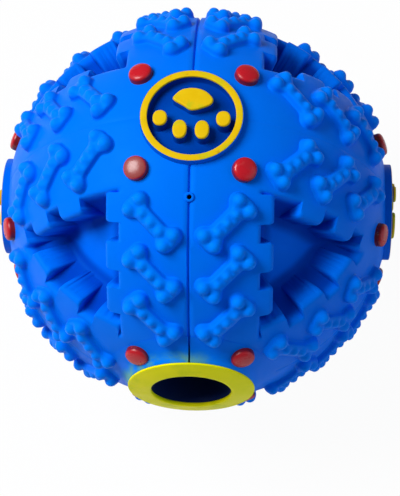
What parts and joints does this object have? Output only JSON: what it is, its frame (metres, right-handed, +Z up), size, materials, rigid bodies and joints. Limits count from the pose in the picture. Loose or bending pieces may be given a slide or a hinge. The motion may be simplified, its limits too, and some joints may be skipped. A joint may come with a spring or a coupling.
{
  "type": "treat dispensing ball",
  "caption": "Hollow treat dispensing ball with moulded bone treads, corner pockets, paw badges, a choke-sleeved treat port and a sliding-weight sound maker.",
  "frame": {"origin": "centre of the ball, midway between the paw badges' faces and between the port's lip and the back badge", "axes": "+Z up through the top paw badge, -Z through the bottom badge that it rests on, -Y out of the treat port, +X through the right badge; the half shells meet at the plane X = 0"},
  "size_m": [0.1172, 0.1172, 0.1172],
  "materials": {
    "shell_vinyl": "soft semi-gloss vinyl",
    "badge_vinyl": "soft semi-gloss vinyl",
    "ring_yellow": "satin paint on vinyl",
    "paw_yellow": "satin paint on vinyl",
    "stud_red": "glossy red paint",
    "collar_paint": "greenish yellow paint on vinyl",
    "sleeve_plastic": "dark satin vinyl",
    "eyelet_plastic": "soft semi-gloss vinyl",
    "tube_plastic": "translucent white moulding, satin",
    "reed_brass": "rolled sheet",
    "weight_steel": "turned"
  },
  "bodies": {
    "ball": {"left_shell": "shell_vinyl", "right_shell": "shell_vinyl", "top_badge": "badge_vinyl", "bottom_badge": "badge_vinyl", "left_badge": "badge_vinyl", "right_badge": "badge_vinyl", "back_badge": "badge_vinyl", "top_ring": "ring_yellow", "bottom_ring": "ring_yellow", "left_ring": "ring_yellow", "right_ring": "ring_yellow", "back_ring": "ring_yellow", "top_paw": "paw_yellow", "bottom_paw": "paw_yellow", "left_paw": "paw_yellow", "right_paw": "paw_yellow", "back_paw": "paw_yellow", "top_studs": "stud_red", "bottom_studs": "stud_red", "left_studs": "stud_red", "right_studs": "stud_red", "back_studs": "stud_red", "port_studs": "stud_red", "port_collar": "collar_paint", "treat_sleeve": "sleeve_plastic", "vent_eyelet": "eyelet_plastic", "sound_tube": "tube_plastic", "sound_tube_cap": "tube_plastic", "sound_reed": "reed_brass"},
    "weight": {"sliding_weight": "weight_steel"}
  },
  "joints": [
    {"name": "weight_slide", "type": "slide", "parent": "ball", "child": "weight", "axis": [0, 0, 1], "range_m": [0, 0.026]}
  ]
}
